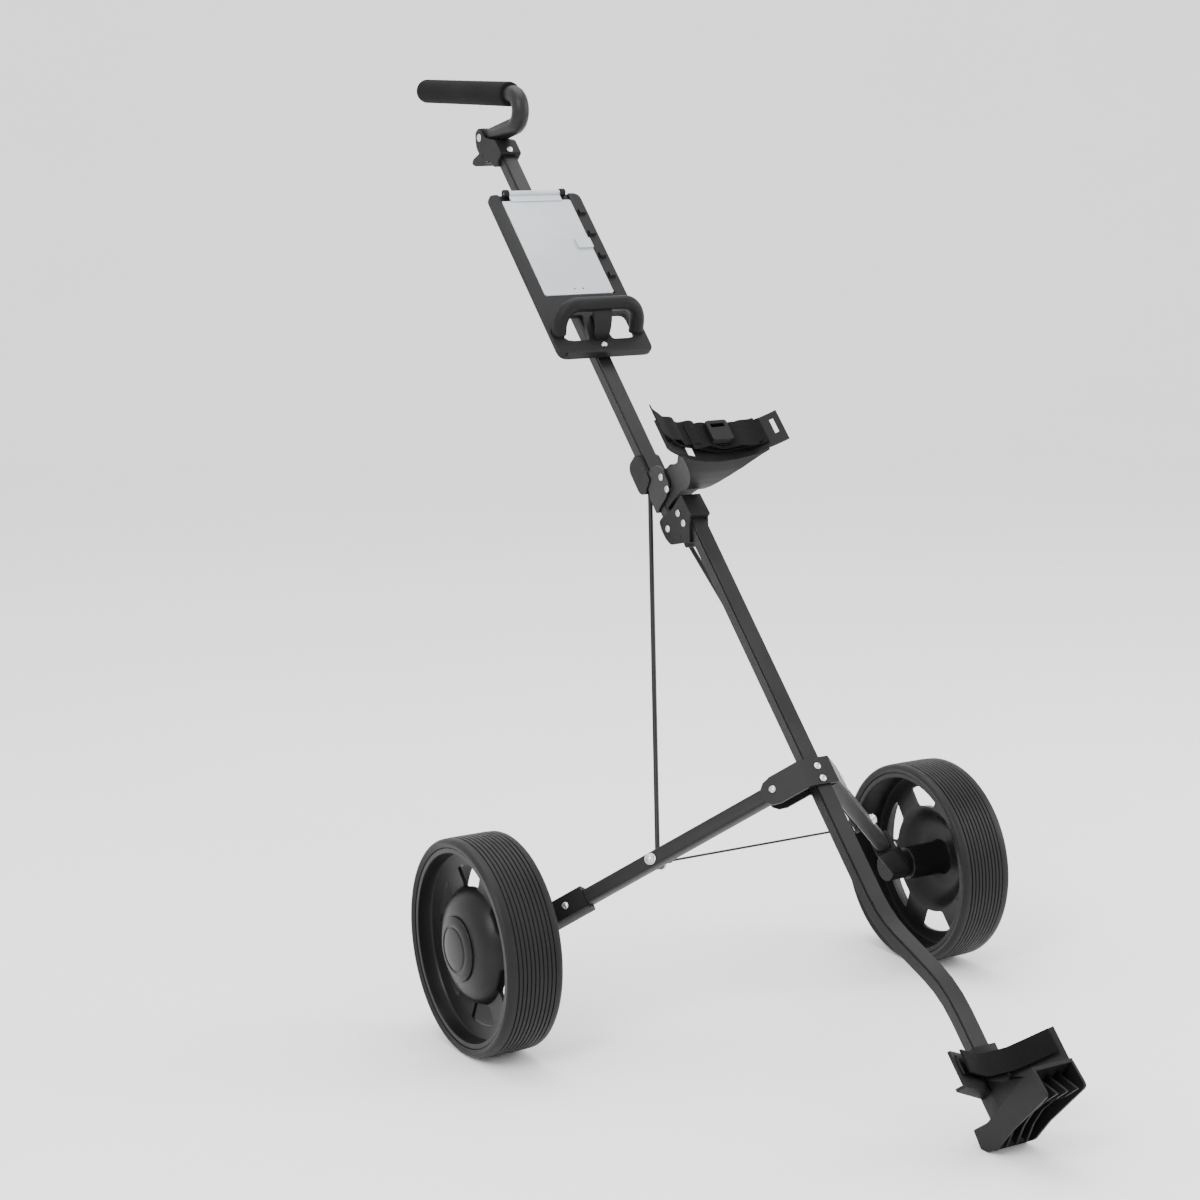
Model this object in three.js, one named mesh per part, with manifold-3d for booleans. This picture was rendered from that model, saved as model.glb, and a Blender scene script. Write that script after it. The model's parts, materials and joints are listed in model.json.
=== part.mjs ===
// Golf push trolley. Millimetres, +Z up, the bag lies on the -Y side and the user walks at +Y.
import * as THREE from "three";
import { mergeVertices } from "three/addons/utils/BufferGeometryUtils.js";
import Module from "manifold-3d";

const { Matrix4, Shape, Vector2, Vector3 } = THREE;
const wasm = await Module();
wasm.setup();

// ---- Driving dimensions ------------------------------------------------------------------
const GAP = 0.35; // clearance between pieces that touch
const SHAFT_LEAN = 46.6; // degrees between the shaft and the ground
const SHAFT_ORIGIN = [0, -41.35, 500]; // origin of the shaft frame: x across, y to the user, z up the shaft

const SHAFT = { width: 19.5, depth: 17.2, wall: 1.5, edge: 3 };
const LOWER_Y = -19.3; // middle of the lower shaft in the shaft frame
const LOWER_TOP = 95;
const BEND_START = -458;
const BEND_END = -567;
const TOE_Y = -71;
const LOWER_END = -690;
const UPPER_Y = 14;
const UPPER_BOTTOM = 78;
const UPPER_TOP = 688;
const FOLD_PIVOT = { y: 17, z: 90 };

const SIDE_PLATE = { inner: 10.1, outer: 12.9 };
const RIVET = { shank: 2.8, bore: 3.15, head: 4.2, rise: 2 };

const LEG = { width: 17.5, depth: 16.5, wall: 1.5, inner: -14.7, end: 320 };
const LEG_SPREAD = 48; // degrees that a leg turns back from straight across
const LEG_PIVOT = { x: 37.3, y: 6.87, z: -274.5 };
const LEG_BOLT_AT = 158.3;
const SLEEVE = { from: 245, to: 331, width: 27, depth: 24, screwAt: 269 };
const AXLE_AT = 339.7; // where the axle's line crosses the leg's line

const WHEEL = { x: 305, z: 122.5, radius: 122.5, halfWidth: 34, sides: 28 };
const AXLE = { radius: 6, from: 246, to: 337.2 };

const ROD = { radius: 2.8, topX: 6, topY: 29, topZ: 151, startsFromBolt: 6.4 };
const CABLE_RADIUS = 1.4;

const CRADLE = { arc: 122, centreY: -236, reach: 40.5, wall: 4, low: 90, high: 130 };
const CONSOLE = { half: 65, bottom: 337, top: 600, front: -3, back: 1, rim: 2.4 };
const COVER = { half: 48.5, bottom: 433, top: 589, hingeY: -7, hingeZ: 600 };
const HANDLE_PIVOT = { y: 29, z: 732 };
const HOOK = { radius: 11, run: 72, bend: 20, rise: 10.2, gripRise: 3.1, gripRun: 252 };
const GRIP = { radius: 15.5, bore: 11.3 };

const RADIANS = Math.PI / 180;

// ---- Materials ---------------------------------------------------------------------------
const finish = (color, roughness, metalness) => () =>
  new THREE.MeshStandardMaterial({ color, roughness, metalness });
const paintedSteel = finish(0x2b2b2d, 0.5, 0.4);
const blackPlastic = finish(0x1d1d1f, 0.6, 0);
const tyreRubber = finish(0x202022, 0.7, 0);
const zincSteel = finish(0xc4c6c8, 0.35, 0.9);
const frostedPlastic = finish(0xc3c8d0, 0.4, 0);
const gripFoam = finish(0x18181a, 0.95, 0);
const strapWebbing = finish(0x121213, 0.95, 0);

// ---- Solids ------------------------------------------------------------------------------
function solidOf(geometry) {
  const loose = geometry.index ? geometry.toNonIndexed() : geometry;
  const bare = new THREE.BufferGeometry().setAttribute("position", loose.getAttribute("position"));
  const merged = mergeVertices(bare, 1e-4);
  const triVerts = new Uint32Array(merged.index.array);
  const vertProperties = merged.attributes.position.array;
  return new wasm.Manifold(new wasm.Mesh({ numProp: 3, vertProperties, triVerts }));
}

function geometryOf(solid) {
  const { vertProperties, triVerts } = solid.getMesh();
  const position = new THREE.BufferAttribute(vertProperties, 3);
  return new THREE.BufferGeometry()
    .setAttribute("position", position)
    .setIndex(new THREE.BufferAttribute(triVerts, 1));
}

const join = (...pieces) => geometryOf(wasm.Manifold.union(pieces.map(solidOf)));
const cut = (body, ...tools) =>
  geometryOf(solidOf(body).subtract(wasm.Manifold.union(tools.map(solidOf))));
const common = (a, b) => geometryOf(solidOf(a).intersect(solidOf(b)));
const mirrorX = (geometry) => {
  const solid = solidOf(geometry);
  return geometryOf(solid.mirror([1, 0, 0]));
};

// ---- Outlines ----------------------------------------------------------------------------
// A closed outline through [x, y] corners; a third value rounds that corner, starting this far from it.
function outline(corners) {
  const shape = new Shape();
  const count = corners.length;
  corners.forEach(([x, y, reach = 0], i) => {
    const corner = new Vector2(x, y);
    const toward = (j) => new Vector2(...corners[j]).sub(corner).setLength(reach).add(corner);
    const start = toward((i + count - 1) % count);
    if (i === 0) shape.moveTo(start.x, start.y);
    else shape.lineTo(start.x, start.y);
    if (!reach) return;
    const end = toward((i + 1) % count);
    shape.quadraticCurveTo(x, y, end.x, end.y);
  });
  shape.closePath();
  return shape;
}

function rectangle(x0, y0, x1, y1, reach = 0) {
  return outline([
    [x0, y0, reach],
    [x1, y0, reach],
    [x1, y1, reach],
    [x0, y1, reach],
  ]);
}

function disc(x, y, radius) {
  return new Shape().absarc(x, y, radius, 0, 2 * Math.PI, false);
}

// Points along a line whose inner corners are rounded, each rounding starting this far from its corner.
function roundedLine(corners, reach, steps = 3) {
  const points = corners.map(([x, y]) => new Vector2(x, y));
  const line = [points[0]];
  for (let i = 1; i < points.length - 1; i++) {
    const start = points[i - 1].clone().sub(points[i]).setLength(reach).add(points[i]);
    const end = points[i + 1].clone().sub(points[i]).setLength(reach).add(points[i]);
    line.push(...new THREE.QuadraticBezierCurve(start, points[i], end).getPoints(steps));
  }
  line.push(points.at(-1));
  return line;
}

// The closed outline between two offsets, both measured to the left of a line of points.
function strip(points, offsetA, offsetB) {
  const side = (offset) =>
    points.map((point, i) => {
      const into = point.clone().sub(points[i - 1] ?? point).normalize();
      const out = (points[i + 1] ?? point).clone().sub(point).normalize();
      const along = into.add(out).normalize();
      const turn = i > 0 && i < points.length - 1 ? Math.cos(out.angleTo(along)) : 1;
      return new Vector2(-along.y, along.x).multiplyScalar(offset / turn).add(point);
    });
  return new Shape([...side(offsetA), ...side(offsetB).reverse()]);
}

// ---- Extrusions --------------------------------------------------------------------------
const X = new Vector3(1, 0, 0);
const Y = new Vector3(0, 1, 0);
const Z = new Vector3(0, 0, 1);

function slab(shape, depth, segments, bevel = 0) {
  const geometry = new THREE.ExtrudeGeometry(shape, {
    depth: depth - 2 * bevel,
    curveSegments: segments,
    bevelEnabled: bevel > 0,
    bevelThickness: bevel,
    bevelSize: bevel,
    bevelOffset: -bevel,
    bevelSegments: 1,
  });
  return geometry.translate(0, 0, bevel);
}

// An outline in (y, z) carried along x, one in (x, z) along y, and one in (x, y) along z.
const alongX = (shape, from, to, segments = 4, bevel = 0) =>
  slab(shape, to - from, segments, bevel)
    .applyMatrix4(new Matrix4().makeBasis(Y, Z, X))
    .translate(from, 0, 0);
const alongY = (shape, from, to, segments = 4, bevel = 0) =>
  slab(shape, to - from, segments, bevel)
    .applyMatrix4(new Matrix4().makeBasis(X, Z, Y.clone().negate()))
    .translate(0, to, 0);
const alongZ = (shape, from, to, segments = 4, bevel = 0) =>
  slab(shape, to - from, segments, bevel).translate(0, 0, from);

const rodX = (y, z, radius, from, to, segments = 4) =>
  alongX(disc(y, z, radius), from, to, segments);
const rodY = (x, z, radius, from, to, segments = 4) =>
  alongY(disc(x, z, radius), from, to, segments);

// A path whose stations fall on its own points, so a bend can be finer than a straight.
class Route extends THREE.Curve {
  constructor(points) {
    super();
    this.points = points;
  }
  getPoint(t, target = new Vector3()) {
    const at = t * (this.points.length - 1);
    const i = Math.min(Math.floor(at), this.points.length - 2);
    return target.lerpVectors(this.points[i], this.points[i + 1], at - i);
  }
  getPointAt(u, target) {
    return this.getPoint(u, target);
  }
  getTangentAt(u, target = new Vector3()) {
    const i = Math.round(u * (this.points.length - 1));
    const before = this.points[Math.max(i - 1, 0)];
    const after = this.points[Math.min(i + 1, this.points.length - 1)];
    return target.subVectors(after, before).normalize();
  }
}

function pipe(points, radius, bore = 0, segments = 6) {
  const section = disc(0, 0, radius);
  if (bore) section.holes.push(disc(0, 0, bore));
  return new THREE.ExtrudeGeometry(section, {
    extrudePath: new Route(points),
    steps: points.length - 1,
    curveSegments: segments,
  });
}

// A turned piece about the x axis: profile points are [radius, x].
const turned = (profile, segments) =>
  new THREE.LatheGeometry(
    profile.map(([radius, x]) => new Vector2(radius, x)),
    segments,
  ).rotateZ(-Math.PI / 2);

// A rivet along x from one face to the other, with a head outside each face.
function rivetX(from, to, { shank, head, rise } = RIVET) {
  const profile = [
    [0, from - rise],
    [0.75 * head, from - rise],
    [head, from],
    [shank, from],
    [shank, to],
    [head, to],
    [0.75 * head, to + rise],
    [0, to + rise],
  ];
  return turned(profile, 8);
}
const rivetY = (from, to, size) => rivetX(from, to, size).rotateZ(Math.PI / 2);

// ---- Scene graph -------------------------------------------------------------------------
const trolley = new THREE.Group();
const shaftFrame = new THREE.Group();
shaftFrame.position.set(...SHAFT_ORIGIN);
shaftFrame.rotation.x = -(90 - SHAFT_LEAN) * RADIANS;
trolley.add(shaftFrame);

function addTo(group, name, geometry, material) {
  const mesh = new THREE.Mesh(geometry, material());
  mesh.name = name;
  group.add(mesh);
}

// ---- Shafts ------------------------------------------------------------------------------
// A flattened tube whose middle line lies in the (y, z) plane.
function flatTube(corners, reach) {
  const { width, depth, wall, edge } = SHAFT;
  const line = roundedLine(corners, reach);
  const inner = line.map((point) => point.clone());
  const overrun = 5;
  inner[0].add(line[0].clone().sub(line[1]).setLength(overrun));
  inner.at(-1).add(line.at(-1).clone().sub(line.at(-2)).setLength(overrun));
  const half = width / 2;
  const body = alongX(strip(line, -depth / 2, depth / 2), -half, half);
  const edgeCut = (side) => {
    const band = strip(inner, side * (depth / 2 - edge), side * (depth / 2 + 1));
    const corner = alongX(band, half - 1, half + 1);
    return [corner, mirrorX(corner)];
  };
  const bore = alongX(strip(inner, wall - depth / 2, depth / 2 - wall), wall - half, half - wall);
  return cut(body, bore, ...edgeCut(1), ...edgeCut(-1));
}

function lowerShaft() {
  const tube = flatTube(
    [
      [LOWER_Y, LOWER_TOP],
      [LOWER_Y, BEND_START],
      [TOE_Y, BEND_END],
      [TOE_Y, LOWER_END],
    ],
    30,
  );
  const bracketHoles = BRACKET_RIVETS.map(({ y, z }) => rodX(y, z, RIVET.bore, -20, 20));
  const yokeHoles = YOKE_RIVETS.map((z) => rodY(0, z, RIVET.bore, -40, 0));
  return cut(tube, ...bracketHoles, ...yokeHoles, rodX(TOE_Y, FOOT_PIN_Z, RIVET.bore, -20, 20));
}

function upperShaft() {
  const tube = flatTube(
    [
      [UPPER_Y, UPPER_BOTTOM],
      [UPPER_Y, UPPER_TOP],
    ],
    0,
  );
  const pivotHole = rodX(FOLD_PIVOT.y, FOLD_PIVOT.z, RIVET.bore, -20, 20);
  const screwHole = rodY(0, CONSOLE_SCREW_Z, RIVET.bore, 0, UPPER_Y);
  const headHole = rodY(0, HEAD_SCREW_Z, RIVET.bore, 0, UPPER_Y);
  return cut(tube, pivotHole, screwHole, headHole);
}

// ---- Hinge bracket between the two shafts --------------------------------------------------
const BRACKET_RIVETS = [
  { y: -13.8, z: 96.2 - 7 },
  { y: -15.5, z: 79.8 - 6 },
];
const FRONT_WALL = { front: -34, back: -28.2, bottom: 70, top: 101 };
const BACK_WEB = { front: -10.35, back: -7.9, bottom: 50, top: 75 };

function hingeBracket() {
  const side = outline([
    [-31, 101, 4],
    [-31, 72, 3],
    [-10.7, 50, 3],
    [25.6, 72.6, 4],
    [30, 84, 5],
    [30, 100, 5],
    [27, 108, 3],
    [18, 108, 4],
    [-5, 101, 5],
  ]);
  const { inner, outer } = SIDE_PLATE;
  const front = outline([
    [FRONT_WALL.back, FRONT_WALL.top],
    [FRONT_WALL.front, FRONT_WALL.top, 2],
    [FRONT_WALL.front - 1.5, FRONT_WALL.bottom, 1],
    [FRONT_WALL.back, FRONT_WALL.bottom],
  ]);
  const shell = join(
    alongX(side, -outer, -inner, 2),
    alongX(side, inner, outer, 2),
    alongX(front, -outer, outer, 2),
    alongX(rectangle(BACK_WEB.front, BACK_WEB.bottom, BACK_WEB.back, BACK_WEB.top), -outer, outer),
  );
  const holes = [...BRACKET_RIVETS, FOLD_PIVOT].map(({ y, z }) => rodX(y, z, RIVET.bore, -20, 20));
  const latchHole = rodX(LATCH.y, LATCH.z, LATCH.bore, -20, 20);
  return cut(shell, ...holes, latchHole);
}

// A sprung catch between the side plates that holds the upper shaft open.
const LATCH = { y: 0.5, z: 66, bore: 2.3, pin: 2 };
function foldLatch() {
  const lever = outline([
    [-6, 61, 1],
    [2, 55, 2],
    [8, 54, 2],
    [8.5, 60, 2],
    [4.5, 66, 2],
    [3, 71.5, 1],
    [-5, 71.5, 2],
  ]);
  return join(alongX(lever, -8, 8, 2), rodX(LATCH.y, LATCH.z, LATCH.pin, -12.7, 12.7, 5));
}

// ---- Bag cradle --------------------------------------------------------------------------
const CRADLE_RIVETS = [
  { y: -13.3, z: 142.7 },
  { y: -14, z: 124.4 },
];
const CRADLE_FLANGE = { inner: 10.1, outer: 12.6, bottom: 119, top: 164, front: -22, back: 22.6 };

function cradleBracket() {
  const { inner, outer, bottom, top, front, back } = CRADLE_FLANGE;
  const side = outline([
    [front, bottom + 6, 6],
    [front + 16, bottom, 4],
    [back + 2.8, bottom],
    [back + 2.8, bottom + 20],
    [back, bottom + 24],
    [back - 6, top, 4],
    [front + 12, top, 6],
    [front, top - 14, 4],
  ]);
  const web = rectangle(back + 0.35, bottom, back + 2.8, bottom + 20);
  const shell = join(
    alongX(side, -outer, -inner, 2),
    alongX(side, inner, outer, 2),
    alongX(web, -outer, outer),
  );
  return cut(shell, ...CRADLE_RIVETS.map(({ y, z }) => rodX(y, z, RIVET.bore, -20, 20)));
}

function cradleBand() {
  const { arc, centreY, reach, wall } = CRADLE;
  const span = (90 - reach) * RADIANS;
  const ring = new Shape();
  ring.absarc(0, centreY, arc + wall, Math.PI - span, span, true);
  ring.absarc(0, centreY, arc, span, Math.PI - span, false);
  return ring;
}

// The U-shaped arm that the bag lies in, with the neck that joins it to the shaft.
function cradle() {
  const { arc, centreY, low, high, wall } = CRADLE;
  const band = alongZ(cradleBand(), low, high, 9);
  const neckPlan = new Shape();
  const backY = centreY + arc + wall;
  neckPlan.moveTo(-9.7, 5);
  neckPlan.lineTo(9.7, 5);
  neckPlan.lineTo(9.7, -23);
  neckPlan.quadraticCurveTo(14, -78, 62, backY - 22);
  neckPlan.lineTo(58, backY - 26);
  neckPlan.quadraticCurveTo(30, backY - 6, 0, backY - 3);
  neckPlan.quadraticCurveTo(-30, backY - 6, -58, backY - 26);
  neckPlan.lineTo(-62, backY - 22);
  neckPlan.quadraticCurveTo(-14, -78, -9.7, -23);
  const neckSide = new Shape();
  neckSide.moveTo(5, 110);
  neckSide.lineTo(5, 160);
  neckSide.quadraticCurveTo(-20, 150, -60, 128);
  neckSide.lineTo(-150, 118);
  neckSide.lineTo(-150, 86);
  neckSide.lineTo(-98, 86);
  neckSide.quadraticCurveTo(-52, 90, -37, 104);
  neckSide.quadraticCurveTo(-20, 110, 5, 110);
  const bagWay = alongZ(disc(0, centreY, arc + 1), 70, 170, 18);
  const neck = cut(common(alongZ(neckPlan, 80, 165, 8), alongX(neckSide, -90, 90, 5)), bagWay);
  const hollowPlan = new Shape();
  hollowPlan.moveTo(-5, -24);
  hollowPlan.lineTo(5, -24);
  hollowPlan.quadraticCurveTo(9, -70, 48, backY - 17);
  hollowPlan.quadraticCurveTo(25, backY - 1, 0, backY + 1);
  hollowPlan.quadraticCurveTo(-25, backY - 1, -48, backY - 17);
  hollowPlan.quadraticCurveTo(-9, -70, -5, -24);
  const hollowSide = outline([
    [-20, 180],
    [-180, 180],
    [-180, 92],
    [-98, 92],
    [-24, 108],
  ]);
  const hollow = common(alongZ(hollowPlan, 70, 180, 8), alongX(hollowSide, -90, 90));
  const slots = [-1, 1].map((side) => {
    const slot = new THREE.BoxGeometry(30, 5, 21);
    slot.rotateZ(side * 55 * RADIANS).translate(side * 72, centreY + arc * Math.cos(36 * RADIANS), 113);
    return slot;
  });
  const bolts = CRADLE_RIVETS.map(({ y, z }) => rodX(y, z, RIVET.bore, -20, 20));
  return cut(join(band, neck), hollow, ...slots, ...bolts);
}

// The webbing strap lies folded inside the arm.
function strapRun(radius, thickness, from, to, low, high, sweep) {
  const { centreY } = CRADLE;
  const start = (90 - sweep) * RADIANS;
  const ring = new Shape();
  ring.absarc(0, centreY, radius, Math.PI - from * RADIANS, start, true);
  ring.absarc(0, centreY, radius - thickness, start, Math.PI - from * RADIANS, false);
  return alongZ(ring, low, high, to);
}
const cradleStrap = () => strapRun(CRADLE.arc - 1, 9, 58, 7, 96, 132, 30);
function strapBuckle() {
  const body = rectangle(-14, 100, 14, 128, 3);
  return cut(alongY(body, -136, -128, 2), alongY(rectangle(-9, 118, 9, 123), -140, -120));
}

// ---- Push-rod collar ---------------------------------------------------------------------
function rodCollar() {
  const back = outline([
    [8, 155, 2],
    [8, 190, 3],
    [14, 197, 3],
    [32, 197, 4],
    [38, 190, 4],
    [38, 158, 4],
    [33, 152, 2],
    [20, 152, 2],
  ]);
  const block = alongX(back, -14, 14, 3);
  const half = SHAFT.width / 2 + GAP;
  const shaftWay = alongZ(rectangle(-half, -10, half, UPPER_Y + SHAFT.depth / 2 + GAP), 140, 210);
  const flanges = alongZ(rectangle(-13, -10, 13, UPPER_Y + SHAFT.depth / 2 + GAP), 140, 166);
  const bores = [-1, 1].map((side) => {
    return alongZ(disc(side * (ROD.topX + 0.8), ROD.topY + 0.8, 4.6), 140, 162);
  });
  return cut(block, shaftWay, flanges, ...bores);
}

// ---- Console -----------------------------------------------------------------------------
const CONSOLE_SCREW_Z = 351;
const BALL_BAR = { half: 54, radius: 8.5, y: -35, z: 391, footZ: 372 };

function ballBar() {
  const { half, radius, y, z, footZ } = BALL_BAR;
  const corner = 22;
  const turn = (side) =>
    [0, 30, 60, 90].map((angle) => {
      const sine = Math.sin(angle * RADIANS);
      const cosine = Math.cos(angle * RADIANS);
      const out = half - corner * (1 - sine);
      const depth = corner * (1 - cosine);
      const share = depth / (CONSOLE.front - y);
      return new Vector3(side * out, y + depth, z + (footZ - z) * share);
    });
  const foot = (side) => new Vector3(side * half, CONSOLE.front + 2, footZ);
  const points = [foot(-1), ...turn(-1).reverse(), ...turn(1), foot(1)];
  return pipe(points, radius, 0, 4);
}

function consolePlate() {
  const { half, bottom, top, front, back } = CONSOLE;
  const face = outline([
    [-half, bottom, 12],
    [half, bottom, 12],
    [half, top, 10],
    [-half, top, 10],
  ]);
  const ballHole = (side) => {
    const inner = side * 10;
    const outer = side * 50;
    const hole = outline([
      [inner * 1.6, 360, 4],
      [outer, 360, 12],
      [outer, 400, 8],
      [inner, 400, 3],
    ]);
    return alongY(hole, front - CONSOLE.rim - 1, back + 2, 3);
  };
  const recess = rectangle(-COVER.half - 1, COVER.bottom - 1, COVER.half + 1, top + 5);
  const plate = cut(
    alongY(face, front - CONSOLE.rim, back, 4),
    ballHole(-1),
    ballHole(1),
    alongY(recess, front - 4, front, 2),
  );
  const ledge = alongY(rectangle(-half + 8, bottom, half - 8, bottom + 3.5), front - 7, front);
  const saddle = alongY(rectangle(-13, bottom + 4, 13, top - 14), back - 1, UPPER_Y - SHAFT.depth / 2 - GAP);
  const scoopSide = new Shape();
  scoopSide.moveTo(front + 1, 358);
  scoopSide.quadraticCurveTo(-30, 363, BALL_BAR.y, 389);
  scoopSide.lineTo(BALL_BAR.y + 4, 389);
  scoopSide.quadraticCurveTo(-26, 368, front + 1, 363);
  const scoopFront = outline([
    [-7, 350],
    [7, 350],
    [15, 395],
    [-15, 395],
  ]);
  const scoop = common(alongX(scoopSide, -20, 20, 5), alongY(scoopFront, -50, 10));
  const rib = alongX(outline([[front + 1, 359], [BALL_BAR.y + 2, 386], [front + 1, 398]]), -1.5, 1.5);
  const clips = [461, 494, 531, 567].map((z) =>
    alongX(outline([[front - 1, z - 5], [front - 6, z - 3], [front - 6, z + 3], [front - 1, z + 5]]), 52, 60),
  );
  const knuckles = [-1, 1].map((side) =>
    rodX(COVER.hingeY, COVER.hingeZ, 5, side * 40 - 3.2, side * 40 + 3.2, 5),
  );
  const body = join(plate, ledge, saddle, ballBar(), scoop, rib, ...clips, ...knuckles);
  const hingeBores = rodX(COVER.hingeY, COVER.hingeZ, 2.2, -50, 50, 4);
  const screwHole = rodY(0, CONSOLE_SCREW_Z, RIVET.bore, -20, 20);
  return cut(body, hingeBores, screwHole);
}

function scorecardCover() {
  const { half, bottom, top, hingeY, hingeZ } = COVER;
  const sheet = outline([
    [-half, bottom, 4],
    [half, bottom, 4],
    [half, top, 2],
    [-half, top, 2],
  ]);
  const back = CONSOLE.front - GAP;
  const barrelHalf = 36;
  const cover = join(
    alongY(sheet, back - 2, back, 3),
    alongY(rectangle(-barrelHalf, top - 2, barrelHalf, hingeZ), back - 3.4, back - 1.2),
    rodX(hingeY, hingeZ, 3.5, -barrelHalf, barrelHalf, 5),
    rodX(hingeY, hingeZ, 1.8, -42, 42, 4),
    alongY(rectangle(27, 506, half, 522, 1.5), back - 5, back - 1, 2),
  );
  const holes = [-4, 8].map((x) => rodY(x, bottom + 9, 1.4, -20, 0, 4));
  return cut(cover, ...holes);
}

// ---- Head, handle and lever --------------------------------------------------------------
const HEAD_SCREW_Z = 682;
const HANDLE_PIN = { bore: 3.15 };

function headClamp() {
  const side = outline([
    [0, 676, 2],
    [26, 676, 3],
    [30, 694, 4],
    [44, 702, 5],
    [45, 730, 7],
    [33, 745, 6],
    [19, 741, 6],
    [19, 722, 5],
    [0, 699, 3],
  ]);
  const half = SHAFT.width / 2 + GAP;
  const front = UPPER_Y - SHAFT.depth / 2 - GAP;
  const back = UPPER_Y + SHAFT.depth / 2 + GAP;
  const socket = alongZ(rectangle(-half, front, half, back), 660, UPPER_TOP + GAP);
  const slot = alongX(
    outline([
      [-10, 703],
      [8, 700],
      [22, 708],
      [29.5, 694],
      [60, 680],
      [60, 760],
      [-10, 760],
    ]),
    -11.6,
    11.6,
  );
  const body = cut(alongX(side, -14.5, 14.5, 4), socket, slot);
  const pinHole = rodX(HANDLE_PIVOT.y, HANDLE_PIVOT.z, HANDLE_PIN.bore, -20, 20);
  const leverHole = rodX(LEVER.y, LEVER.z, LEVER.bore, -20, 20, 4);
  return cut(body, pinHole, leverHole, rodY(0, HEAD_SCREW_Z, RIVET.bore, -10, 6));
}

function hookRoute() {
  const { run, bend, rise, gripRise, gripRun } = HOOK;
  const heading = (angle) => new Vector3(0, Math.cos(angle * RADIANS), Math.sin(angle * RADIANS));
  const startHeading = 180 - rise;
  const start = new Vector3(0, 0, 0).addScaledVector(heading(startHeading), run);
  const centre = start.clone().addScaledVector(heading(startHeading - 90), bend);
  const turn = startHeading - gripRise;
  const steps = 7;
  const arc = [];
  for (let i = 0; i <= steps; i++) {
    const angle = startHeading + 90 - (turn * i) / steps;
    arc.push(centre.clone().addScaledVector(heading(angle), bend));
  }
  const end = arc.at(-1).clone().addScaledVector(heading(gripRise), gripRun);
  return [new Vector3(0, 0, 0).addScaledVector(heading(startHeading), 9), ...arc, end];
}

// The handle is drawn about its own pivot, in the trolley's upright directions.
function handleHook() {
  const tube = pipe(hookRoute(), HOOK.radius, HOOK.radius - 1.6, 5);
  const knuckle = rodX(0, 0, 12, -11, 11, 7);
  const solidTube = pipe(hookRoute().slice(0, 2), HOOK.radius - 0.4, 0, 6);
  const clear = alongX(disc(0, 0, 9), -30, 30, 7);
  const neck = cut(tube, clear);
  return cut(join(neck, knuckle, shorten(solidTube)), rodX(0, 0, HANDLE_PIN.bore, -30, 30));
}
// Keeps only the first stretch of a piece, near the pivot.
const shorten = (geometry) => common(geometry, alongX(disc(0, 0, 22), -30, 30, 7));

function handleGrip() {
  const route = hookRoute();
  const end = route.at(-1);
  const along = end.clone().sub(route.at(-2)).normalize();
  const start = route.at(-2).clone().addScaledVector(along, 8);
  const tail = end.clone().addScaledVector(along, -0.5);
  const foam = pipe([start, tail], GRIP.radius, GRIP.bore, 8);
  return foam;
}

const LEVER = { y: 38, z: 709, bore: 1.8, pin: 1.5 };
function lockLever() {
  const lug = outline([
    [44, 722, 2],
    [68, 731, 2],
    [74, 729, 2],
    [70, 721, 3],
    [52, 704, 3],
    [45, 702.5, 2],
    [34, 693, 2],
    [32, 700, 2],
    [34, 714, 3],
  ]);
  return join(alongX(lug, -10.5, 10.5, 3), rodX(LEVER.y, LEVER.z, LEVER.pin, -14.2, 14.2, 4));
}

// ---- Yoke --------------------------------------------------------------------------------
const YOKE = { top: -260, bottom: -293, earAt: 40, earRadius: 16 };
const YOKE_RIVETS = [-270.7, -286.3];
const FRONT_PLATE = { bendX: 18.5, y: -31, thickness: 2.8 };
const REAR_PLATE = { bendX: 10.1, y: -10.35, thickness: 2.5 };
const LEG_FRONT = LEG.depth / 2 + GAP + FRONT_PLATE.thickness; // leg's middle to the front plate's face
const REAR_OFFSET = 20;

function yokePlate({ bendX, y, thickness }, offset) {
  const turn = LEG_SPREAD * RADIANS;
  const earX = FRONT_PLATE.bendX + YOKE.earAt * Math.cos(turn) - offset * Math.sin(turn);
  const earY = FRONT_PLATE.y + YOKE.earAt * Math.sin(turn) + offset * Math.cos(turn);
  const line = [
    [-earX, earY],
    [-bendX, y],
    [bendX, y],
    [earX, earY],
  ].map(([px, py]) => new Vector2(px, py));
  const middle = (YOKE.top + YOKE.bottom) / 2;
  const band = alongZ(strip(line, 0, thickness), YOKE.bottom, YOKE.top);
  const ears = [-1, 1].map((side) => {
    const ear = rodY(0, middle, YOKE.earRadius, 0.1, thickness - 0.1, 6);
    return ear.rotateZ(side * turn).translate(side * earX, earY, 0);
  });
  const pivots = [-1, 1].map((side) => {
    const bore = rodY(0, LEG_PIVOT.z, RIVET.bore, -40, 40);
    return bore.rotateZ(side * turn).translate(side * LEG_PIVOT.x, LEG_PIVOT.y, 0);
  });
  const rivets = YOKE_RIVETS.map((z) => rodY(0, z, RIVET.bore, -60, 20));
  return cut(join(band, ...ears), ...pivots, ...rivets);
}

// ---- Foot bracket ------------------------------------------------------------------------
const FOOT_PIN_Z = -662;
const FOOT = { half: 25, wall: 3, socketHalf: 15 };

function footSides() {
  const side = outline([
    [-168, -697, 4],
    [-171, -729, 6],
    [-95, -731, 4],
    [-62, -735, 2],
    [-46, -731.1],
    [-38, -723.6],
    [-40, -704, 2],
    [-66, -708, 2],
  ]);
  return [-1, 1].map((hand) => {
    const inner = hand * (FOOT.half - FOOT.wall);
    const outer = hand * FOOT.half;
    return alongX(side, Math.min(inner, outer), Math.max(inner, outer), 3);
  });
}

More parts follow.
